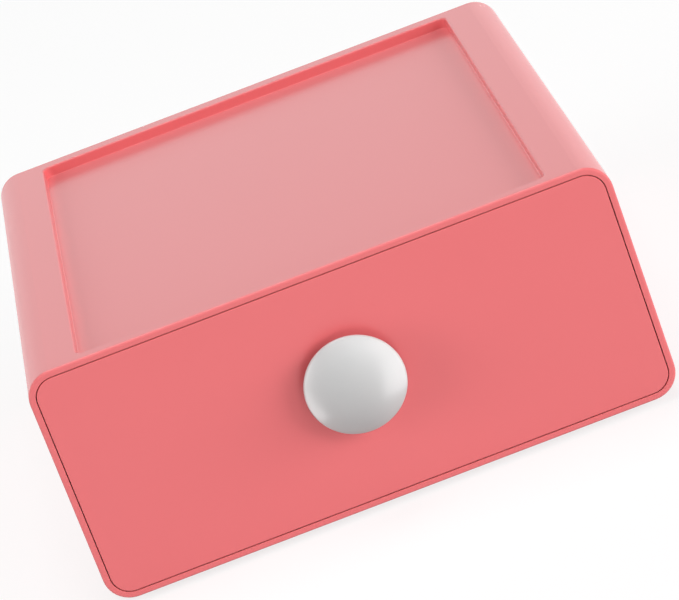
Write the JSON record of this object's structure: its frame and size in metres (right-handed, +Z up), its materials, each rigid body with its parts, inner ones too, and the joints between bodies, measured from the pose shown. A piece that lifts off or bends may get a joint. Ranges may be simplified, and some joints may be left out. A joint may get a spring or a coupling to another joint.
{
  "type": "desktop drawer organizer",
  "caption": "Moulded plastic desktop box with a shallow tray in its top and a flush sliding drawer, pulled by a round domed knob.",
  "frame": {"origin": "on the table, under the middle of the whole part's box, knob included", "axes": "+Z up, the drawer front and its knob face -Y, +X to the right of someone facing the drawer"},
  "size_m": [0.177, 0.2064, 0.0768],
  "materials": {
    "case_plastic": "satin moulded ABS, coral pink",
    "drawer_plastic": "satin moulded ABS, coral pink",
    "knob_plastic": "glossy moulded ABS, white",
    "insert_brass": "turned brass",
    "fastener_steel": "zinc-plated steel",
    "foot_rubber": "soft translucent grey silicone rubber"
  },
  "bodies": {
    "case": {"case_shell": "case_plastic", "back_panel": "case_plastic", "foot_front_left": "foot_rubber", "foot_front_right": "foot_rubber", "foot_rear_left": "foot_rubber", "foot_rear_right": "foot_rubber"},
    "drawer": {"drawer_front": "drawer_plastic", "drawer_tub": "drawer_plastic", "knob": "knob_plastic", "knob_insert": "insert_brass", "knob_screw": "fastener_steel", "knob_washer": "fastener_steel"}
  },
  "joints": [
    {"name": "drawer_slide", "type": "slide", "parent": "case", "child": "drawer", "axis": [0, -1, 0], "range_m": [0, 0.14]}
  ]
}
